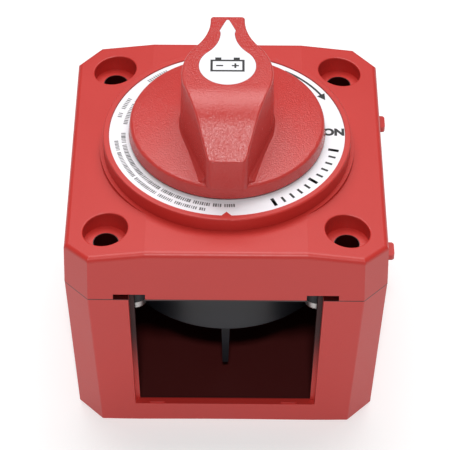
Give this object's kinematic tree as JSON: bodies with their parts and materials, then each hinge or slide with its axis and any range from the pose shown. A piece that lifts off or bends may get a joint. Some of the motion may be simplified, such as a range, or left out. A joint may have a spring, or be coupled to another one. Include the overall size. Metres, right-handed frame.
{
  "type": "battery switch",
  "caption": "Surface-mounted rotary battery isolator: square red two-part case with cut corners, pointer handle on a round dial, screw terminals inside.",
  "frame": {"origin": "centre of the four mounting holes, on the mounting face; the knob turns about +Z through it", "axes": "+Z out of the mounting face through the knob; -Y out of the cable opening; +X towards the ganging tabs"},
  "size_m": [0.0704, 0.0686, 0.0764],
  "materials": {
    "red_cap": "fine satin moulded polyester, red",
    "red_base": "fine satin moulded polyester, red",
    "red_knob": "spark-eroded satin moulding, red",
    "printed_ring": "white satin film with black print",
    "printed_insert": "white satin film with black print",
    "black_moulding": "glass-filled moulding, black",
    "white_nylon": "natural nylon",
    "seal_rubber": "matt nitrile rubber",
    "steel": "passivated stainless steel",
    "spring_steel": "drawn stainless wire",
    "tinned_copper": "bright tin plate over copper",
    "copper": "bare copper bar",
    "brass": "turned brass",
    "silver_alloy": "silver contact alloy"
  },
  "bodies": {
    "case": {"base_cover": "red_base", "upper_housing": "red_cap", "ring_label": "printed_ring", "drum_body": "black_moulding", "drum_gasket": "seal_rubber", "drum_screws": "steel", "terminal_studs": "tinned_copper", "stud_seals": "seal_rubber", "terminal_washers": "steel", "lock_washers": "steel", "terminal_nuts": "steel", "fixed_tips": "silver_alloy", "return_spring": "spring_steel", "thrust_washer": "white_nylon"},
    "rotor": {"knob": "red_knob", "knob_insert": "printed_insert", "knob_washer": "steel", "knob_screw": "steel", "rotor_shaft": "black_moulding", "shaft_oring": "seal_rubber"},
    "carrier": {"contact_carrier": "black_moulding", "contact_bridge": "copper", "bridge_rivet": "brass", "moving_tips": "silver_alloy"}
  },
  "joints": [
    {"name": "carrier_slide", "type": "slide", "parent": "case", "child": "carrier", "axis": [0, 0, -1], "range_m": [0, 0.00245], "deforming": ["return_spring"]},
    {"name": "knob_turn", "type": "hinge", "parent": "case", "child": "rotor", "pos_m": [0, 0, 0.058], "axis": [0, 0, 1], "range_deg": [-90, 0]}
  ],
  "couplings": [
    {"joint": "knob_turn", "follows": "carrier_slide", "rad_per_m": -641.14}
  ]
}
